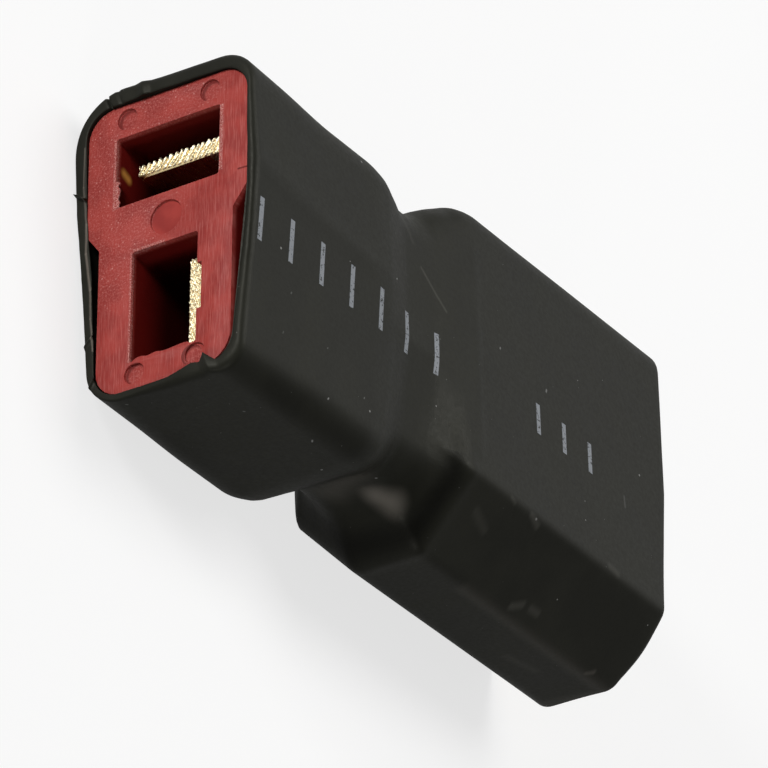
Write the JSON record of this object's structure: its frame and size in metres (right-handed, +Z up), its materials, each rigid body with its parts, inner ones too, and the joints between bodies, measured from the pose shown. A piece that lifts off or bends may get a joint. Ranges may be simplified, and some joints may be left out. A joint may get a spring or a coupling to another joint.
{
  "type": "battery connector adapter",
  "caption": "Short adapter between two kinds of battery plug: a red socket with blade contacts in right-angled slots, and a shrouded split-pin plug, joined back to back in a black shrunk sleeve",
  "frame": {"origin": "centre of the underside of the part's bounding box, as it lies on a broad side of the sleeve", "axes": "+X runs from the socket's mouth to the plug's mouth, +Y across the two poles towards the socket's wide head and the plug's square-cornered side, +Z up through the thickness"},
  "size_m": [0.0344, 0.0168, 0.0091],
  "materials": {
    "sleeve": "black shrunk polyolefin tube, matte with a soft sheen",
    "socket_plastic": "red glass-filled nylon, slightly grainy",
    "contact_plating": "thin gold plate over brass",
    "spring": "bare spring steel strip",
    "plug_plastic": "yellow moulded nylon",
    "pin_plating": "turned brass with gold plate",
    "solder": "solidified tin solder, satin grey"
  },
  "bodies": {
    "root": {"heat_shrink_sleeve": "sleeve", "socket_housing": "socket_plastic", "upper_contact": "contact_plating", "lower_contact": "contact_plating", "upper_spring": "spring", "lower_spring": "spring", "plug_housing": "plug_plastic", "upper_pin": "pin_plating", "lower_pin": "pin_plating", "upper_solder_joint": "solder", "lower_solder_joint": "solder"}
  },
  "joints": []
}
